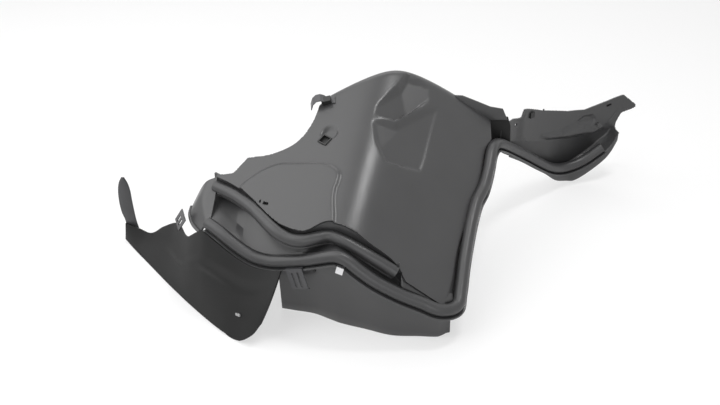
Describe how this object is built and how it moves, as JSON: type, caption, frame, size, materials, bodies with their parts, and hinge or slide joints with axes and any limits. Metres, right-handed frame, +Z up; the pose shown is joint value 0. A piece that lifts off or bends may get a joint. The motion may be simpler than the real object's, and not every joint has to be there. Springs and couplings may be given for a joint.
{
  "type": "engine bay lower panel",
  "caption": "Moulded engine bay lower panel with a peaked face, two bulb seals, a soft splash flap and a bracket arm.",
  "frame": {"origin": "middle of the panel's outer box, at the floor that the skirt and the flap stand on", "axes": "+X along the panel to the bracket arm, +Y from the skirt to the crest, +Z up"},
  "size_m": [0.687, 0.389, 0.2188],
  "materials": {
    "grey_moulding": "satin moulded surface with a fine grain",
    "seal_rubber": "soft matte bulb seal",
    "flap_rubber": "matte flexible sheet",
    "dark_clip": "dark coated spring steel",
    "bright_clip": "plain bright spring steel",
    "dark_plastic": "plain moulded insert",
    "light_plastic": "plain moulded plug"
  },
  "bodies": {
    "root": {"corner_clip": "dark_clip", "crest_clip": "dark_clip", "edge_seal": "seal_rubber", "face_insert": "dark_plastic", "flap_clip": "dark_clip", "gutter_plug": "light_plastic", "ledge_seal": "seal_rubber", "lip_clip": "bright_clip", "panel_moulding": "grey_moulding", "skirt_stud": "dark_plastic", "splash_flap": "flap_rubber"}
  },
  "joints": []
}
